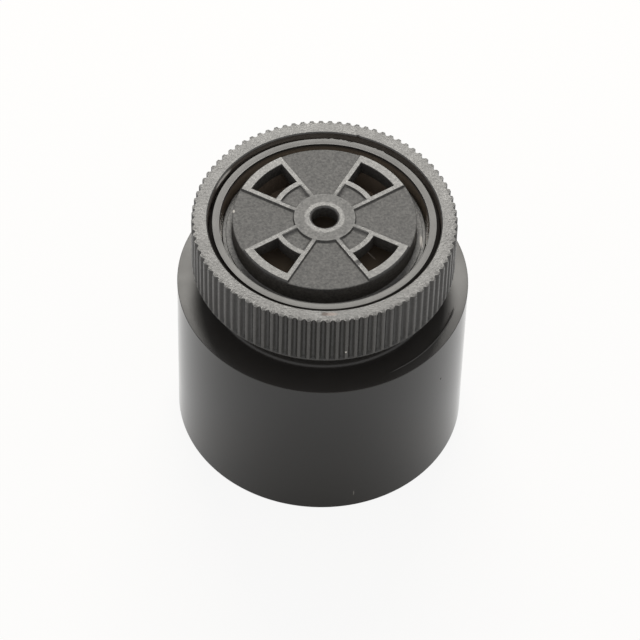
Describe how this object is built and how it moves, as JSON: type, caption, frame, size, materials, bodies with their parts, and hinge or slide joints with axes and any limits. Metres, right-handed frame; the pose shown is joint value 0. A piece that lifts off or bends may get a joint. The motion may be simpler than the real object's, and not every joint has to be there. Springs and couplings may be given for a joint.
{
  "type": "panel-mount audible alarm",
  "caption": "Round panel-mount audible alarm with a threaded neck, knurled lock ring, ribbed sound grille, and blade terminals shielded in a rear well.",
  "frame": {"origin": "centre of the rear rim, on the surface that the alarm stands on", "axes": "+Z along the neck, out through the grille; X through the two blade terminals, with the positive one on +X"},
  "size_m": [0.036, 0.036, 0.0349],
  "materials": {
    "housing_black": "semi-gloss moulded black thermoplastic",
    "ring_charcoal": "satin moulded charcoal thermoplastic",
    "cap_charcoal": "satin moulded charcoal thermoplastic with textured fields",
    "brass_sheet": "rolled brass sheet",
    "silvered_ceramic": "fired silver electrode on ceramic",
    "silicone": "cured silicone bead",
    "lead_red": "insulated wire",
    "lead_black": "insulated wire",
    "lead_blue": "insulated wire",
    "board_laminate": "solder-masked glass laminate",
    "ferrite": "sintered ferrite",
    "enamelled_copper": "enamelled copper wire",
    "can_sleeve": "sleeved aluminium can",
    "package_black": "moulded epoxy",
    "chip_ceramic": "fired ceramic with tinned ends",
    "solder": "reflowed tin solder",
    "cover_black": "satin moulded black thermoplastic",
    "tinned_brass": "tin-plated brass strip"
  },
  "bodies": {
    "alarm": {"housing": "housing_black", "grille_cap": "cap_charcoal", "diaphragm_plate": "brass_sheet", "piezo_ceramic": "silvered_ceramic", "adhesive_bead": "silicone", "drive_lead": "lead_red", "common_lead": "lead_black", "feedback_lead": "lead_blue", "circuit_board": "board_laminate", "choke_core": "ferrite", "choke_winding": "enamelled_copper", "filter_capacitor": "can_sleeve", "driver_transistor": "package_black", "driver_chip": "package_black", "polarity_diode": "package_black", "resistors": "chip_ceramic", "chip_capacitors": "chip_ceramic", "solder_joints": "solder", "rear_cover": "cover_black", "positive_terminal": "tinned_brass", "negative_terminal": "tinned_brass"},
    "ring": {"lock_ring": "ring_charcoal"}
  },
  "joints": [
    {"name": "ring_travel", "type": "slide", "parent": "alarm", "child": "ring", "axis": [0, 0, 1], "range_m": [-0.0036, 0.005]}
  ]
}
